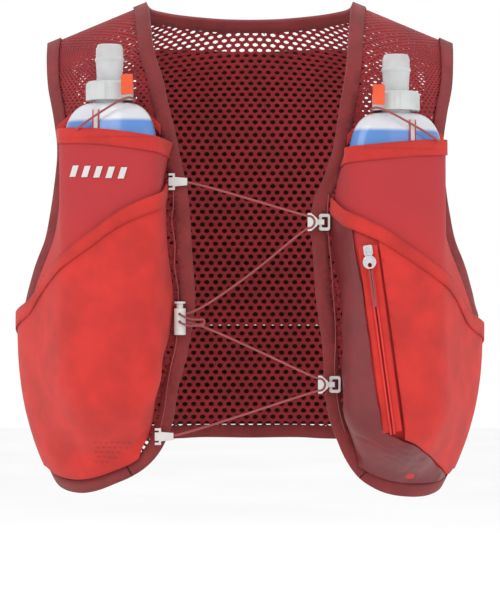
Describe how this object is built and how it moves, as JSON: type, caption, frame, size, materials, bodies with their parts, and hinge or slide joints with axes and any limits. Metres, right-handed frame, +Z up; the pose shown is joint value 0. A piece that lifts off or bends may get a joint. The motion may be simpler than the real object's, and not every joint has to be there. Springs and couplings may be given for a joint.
{
  "type": "running hydration vest",
  "caption": "Sleeveless mesh running vest with soft flasks in stretch chest pockets, elastic chest cords, a zip pocket and stretch pouches on the back.",
  "frame": {"origin": "on the wearer's centre line, midway between the shoulder straps' tops, where the vest hangs from the shoulders", "axes": "+Z up; -Y is the wearer's front, with the flasks and chest cords; +X is the wearer's left, with the zip pocket"},
  "size_m": [0.4434, 0.2857, 0.4637],
  "materials": {
    "mesh": "matte",
    "binding": "matte",
    "pocket_stretch": "matte",
    "pocket_hem": "matte",
    "ripstop": "satin",
    "zip_tape": "matte",
    "zip_coil": "satin",
    "zip_metal": "polished",
    "cord": "matte",
    "grey_plastic": "satin",
    "spring_steel": "satin",
    "flask_film": "translucent, full of water",
    "cap_plastic": "satin",
    "silicone": "translucent",
    "seal_rubber": "matte",
    "orange_tab": "matte"
  },
  "bodies": {
    "vest": {"armhole_binding_left": "binding", "armhole_binding_right": "binding", "back_panel": "mesh", "back_pocket": "pocket_stretch", "back_pocket_hem": "pocket_hem", "chest_clip_lower": "grey_plastic", "chest_clip_upper": "grey_plastic", "chest_cord_lower": "cord", "chest_cord_upper": "cord", "chest_rings": "grey_plastic", "cord_lock_barrel": "grey_plastic", "cord_lock_spring": "spring_steel", "flask_pocket_hem_left": "pocket_hem", "flask_pocket_hem_right": "pocket_hem", "flask_pocket_left": "pocket_stretch", "flask_pocket_right": "pocket_stretch", "flask_strap_left": "pocket_hem", "flask_strap_right": "pocket_hem", "front_binding_left": "binding", "front_binding_right": "binding", "front_panel_left": "mesh", "front_panel_right": "mesh", "hang_loop": "pocket_hem", "hem_binding_back": "binding", "hem_binding_left": "binding", "hem_binding_right": "binding", "neck_binding": "binding", "rail_cords": "cord", "side_panel_left": "mesh", "side_panel_right": "mesh", "slack_loop": "cord", "stretch_pocket_hem_left": "pocket_hem", "stretch_pocket_hem_right": "pocket_hem", "stretch_pocket_left": "pocket_stretch", "stretch_pocket_right": "pocket_stretch", "waist_pocket": "pocket_stretch", "zip_pocket_panel": "ripstop", "zipper_coil_inner": "zip_coil", "zipper_coil_outer": "zip_coil", "zipper_tape_inner": "zip_tape", "zipper_tape_outer": "zip_tape"},
    "hook_upper": {"chest_hook_upper": "grey_plastic"},
    "hook_lower": {"chest_hook_lower": "grey_plastic"},
    "lock_button": {"cord_lock_button": "grey_plastic"},
    "zip_slider": {"zipper_slider": "zip_metal"},
    "zip_pull": {"zipper_pull": "zip_metal", "zipper_pull_cord": "cord"},
    "flask_left": {"flask_body_left": "flask_film"},
    "seal_left": {"flask_seal_left": "seal_rubber"},
    "cap_left": {"flask_cap_left": "cap_plastic"},
    "valve_left": {"bite_valve_left": "silicone"},
    "loop_left": {"flask_loop_left": "cord", "flask_loop_tab_left": "orange_tab"},
    "flask_right": {"flask_body_right": "flask_film"},
    "seal_right": {"flask_seal_right": "seal_rubber"},
    "cap_right": {"flask_cap_right": "cap_plastic"},
    "valve_right": {"bite_valve_right": "silicone"},
    "loop_right": {"flask_loop_right": "cord", "flask_loop_tab_right": "orange_tab"}
  },
  "joints": [
    {"name": "hook_upper_release", "type": "slide", "parent": "vest", "child": "hook_upper", "axis": [0, -1, 0], "range_m": [0, 0.035], "deforming": ["chest_cord_upper"]},
    {"name": "hook_lower_release", "type": "slide", "parent": "vest", "child": "hook_lower", "axis": [0, -1, 0], "range_m": [0, 0.035], "deforming": ["chest_cord_lower"]},
    {"name": "cord_lock_press", "type": "slide", "parent": "vest", "child": "lock_button", "axis": [0, 0, -1], "range_m": [0, 0.0034], "stiffness_N_per_m": 350, "springref_m": -0.004, "deforming": ["cord_lock_spring"]},
    {"name": "zip_travel", "type": "slide", "parent": "vest", "child": "zip_slider", "axis": [0.1338, 0.0097, -0.991], "range_m": [0, 0.148]},
    {"name": "zip_pull_swing", "type": "hinge", "parent": "zip_slider", "child": "zip_pull", "pos_m": [0.10399, -0.15042, -0.23912], "axis": [-0.9863, 0.0986, -0.1322], "range_deg": [0, 110]},
    {"name": "flask_left_lift", "type": "slide", "parent": "vest", "child": "flask_left", "axis": [0, 0, 1], "range_m": [0, 0.28]},
    {"name": "cap_left_rise", "type": "slide", "parent": "flask_left", "child": "seal_left", "axis": [0, 0, 1], "range_m": [0, 0.0061]},
    {"name": "cap_left_turn", "type": "hinge", "parent": "seal_left", "child": "cap_left", "pos_m": [0.131, -0.1165, -0.106], "axis": [0, 0, 1], "range_deg": [0, 540]},
    {"name": "valve_left_pull", "type": "slide", "parent": "cap_left", "child": "valve_left", "axis": [0, 0, 1], "range_m": [0, 0.004]},
    {"name": "loop_left_flip", "type": "hinge", "parent": "vest", "child": "loop_left", "pos_m": [0.16878, -0.12581, -0.14136], "axis": [1, 0, 0], "range_deg": [0, 70], "deforming": ["flask_loop_left"]},
    {"name": "flask_right_lift", "type": "slide", "parent": "vest", "child": "flask_right", "axis": [0, 0, 1], "range_m": [0, 0.28]},
    {"name": "cap_right_rise", "type": "slide", "parent": "flask_right", "child": "seal_right", "axis": [0, 0, 1], "range_m": [0, 0.0061]},
    {"name": "cap_right_turn", "type": "hinge", "parent": "seal_right", "child": "cap_right", "pos_m": [-0.126, -0.1165, -0.097], "axis": [0, 0, 1], "range_deg": [0, 540]},
    {"name": "valve_right_pull", "type": "slide", "parent": "cap_right", "child": "valve_right", "axis": [0, 0, 1], "range_m": [0, 0.004]},
    {"name": "loop_right_flip", "type": "hinge", "parent": "vest", "child": "loop_right", "pos_m": [-0.15471, -0.13162, -0.13111], "axis": [1, 0, 0], "range_deg": [0, 70], "deforming": ["flask_loop_right"]}
  ],
  "couplings": [
    {"joint": "cap_left_rise", "follows": "cap_left_turn", "m_per_rad": 0.00063662},
    {"joint": "cap_right_rise", "follows": "cap_right_turn", "m_per_rad": 0.00063662}
  ]
}
